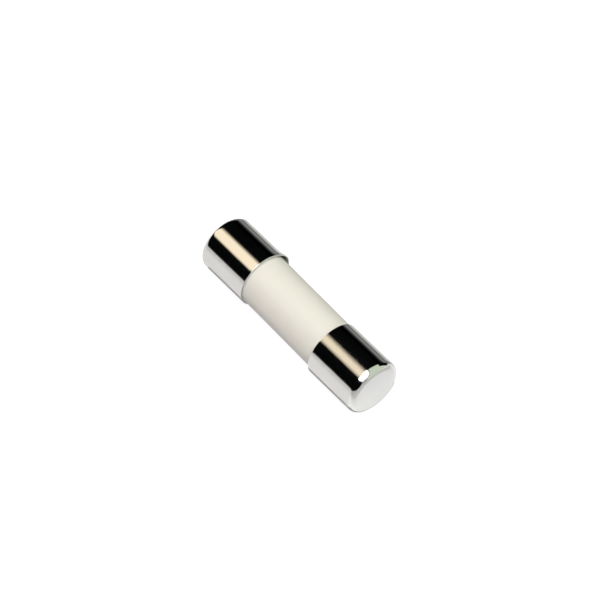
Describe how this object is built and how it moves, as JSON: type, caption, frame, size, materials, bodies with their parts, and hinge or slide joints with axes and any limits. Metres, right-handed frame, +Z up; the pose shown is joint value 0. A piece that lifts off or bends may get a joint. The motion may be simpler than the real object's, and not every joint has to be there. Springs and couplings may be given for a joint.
{
  "type": "cartridge fuse",
  "caption": "Small white ceramic cartridge fuse with a plain nickel-plated cup on each end, sand-filled round a wound element, that clips into a fuse holder.",
  "frame": {"origin": "the middle of the fuse on its axis, half way between the two end faces", "axes": "+X along the axis towards the right-hand cap, +Z up with the fuse lying on its side, +Y completes the right-handed frame"},
  "size_m": [0.02, 0.0052, 0.0052],
  "materials": {
    "white_ceramic": "satin",
    "nickel_plate": "polished",
    "cement": "matte",
    "solder": "satin",
    "vulcanised_fibre": "matte",
    "quartz_sand": "matte",
    "glass_yarn": "satin",
    "tinned_wire": "polished"
  },
  "bodies": {
    "root": {"ceramic_tube": "white_ceramic", "end_cap_left": "nickel_plate", "end_cap_right": "nickel_plate", "cement_sleeve_left": "cement", "cement_sleeve_right": "cement", "solder_slug_left": "solder", "solder_slug_right": "solder", "retaining_washer_left": "vulcanised_fibre", "retaining_washer_right": "vulcanised_fibre", "sand_filling": "quartz_sand", "element_core": "glass_yarn", "element_wire": "tinned_wire", "tin_bead": "solder"}
  },
  "joints": []
}
